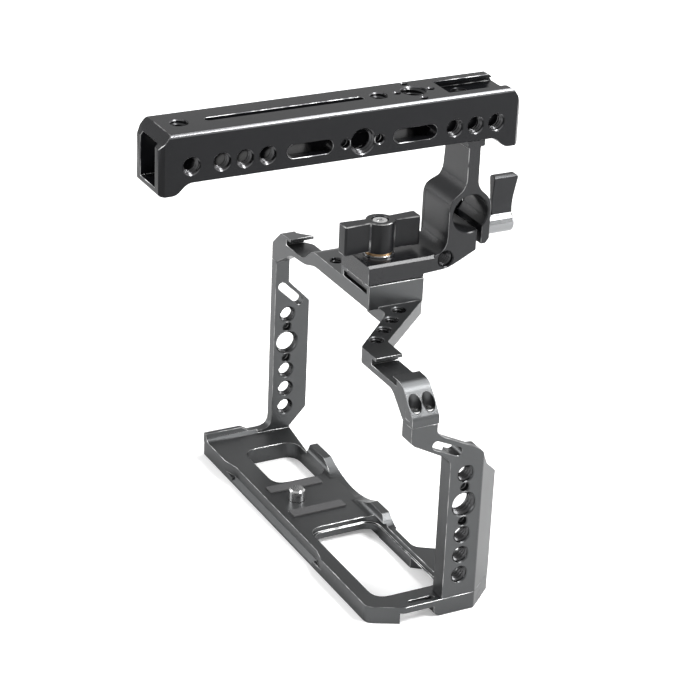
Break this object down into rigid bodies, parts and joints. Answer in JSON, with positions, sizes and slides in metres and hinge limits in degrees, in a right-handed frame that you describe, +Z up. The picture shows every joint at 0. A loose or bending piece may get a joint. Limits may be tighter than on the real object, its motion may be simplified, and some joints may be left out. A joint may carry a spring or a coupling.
{
  "type": "camera cage with top handle",
  "caption": "Milled cage that wraps a small camera on its base plate and sides, with a top handle on a gooseneck arm, a wing-knob shoe clamp and a rod clamp with a thumb lever.",
  "frame": {"origin": "axis of the camera screw, at the height of the face the camera sits on", "axes": "+X towards the grip side, +Y towards the lens side, +Z up"},
  "size_m": [0.1502, 0.1534, 0.1755],
  "materials": {
    "cage_metal": "satin gunmetal anodised",
    "handle_metal": "black anodised",
    "bright_steel": "turned stainless",
    "dark_steel": "black oxide",
    "bronze": "oiled bronze",
    "pad_rubber": "matte"
  },
  "bodies": {
    "cage": {"base_frame": "cage_metal", "top_frame": "cage_metal", "grip_upright": "cage_metal", "left_joint_screws": "dark_steel", "grip_top_screws": "bright_steel", "grip_bottom_screws": "dark_steel", "screw_ring": "dark_steel", "pad_left": "pad_rubber", "pad_right": "pad_rubber"},
    "camera_screw": {"camera_screw": "bright_steel"},
    "handle": {"handle_body": "handle_metal", "handle_bolts": "dark_steel", "handle_arm": "handle_metal", "clamp_washer": "bright_steel", "thrust_washer": "bronze"},
    "clamp_knob": {"clamp_knob": "handle_metal", "clamp_stud": "bright_steel", "knob_screw": "bright_steel"},
    "clamp_plate": {"shoe_clamp_plate": "bright_steel"},
    "rod_lever": {"rod_lever": "handle_metal", "rod_clamp_screw": "bright_steel", "lever_end_screw": "dark_steel"}
  },
  "joints": [
    {"name": "camera_screw_turn", "type": "hinge", "parent": "cage", "child": "camera_screw", "pos_m": [0, 0, 0], "axis": [0, 0, 1], "continuous": true},
    {"name": "handle_slide", "type": "slide", "parent": "cage", "child": "handle", "axis": [0, 1, 0], "range_m": [-0.014, 0.004]},
    {"name": "clamp_knob_turn", "type": "hinge", "parent": "handle", "child": "clamp_knob", "pos_m": [0.01, 0.0258, 0.11], "axis": [0, 0, 1], "range_deg": [0, 270]},
    {"name": "clamp_plate_drop", "type": "slide", "parent": "handle", "child": "clamp_plate", "axis": [0, 0, 1], "range_m": [-0.00061, 0]},
    {"name": "rod_lever_turn", "type": "hinge", "parent": "handle", "child": "rod_lever", "pos_m": [0.01, 0.07, 0.1101], "axis": [0, 1, 0], "range_deg": [0, 360]}
  ],
  "couplings": [
    {"joint": "clamp_plate_drop", "follows": "clamp_knob_turn", "m_per_rad": -0.00012732}
  ]
}
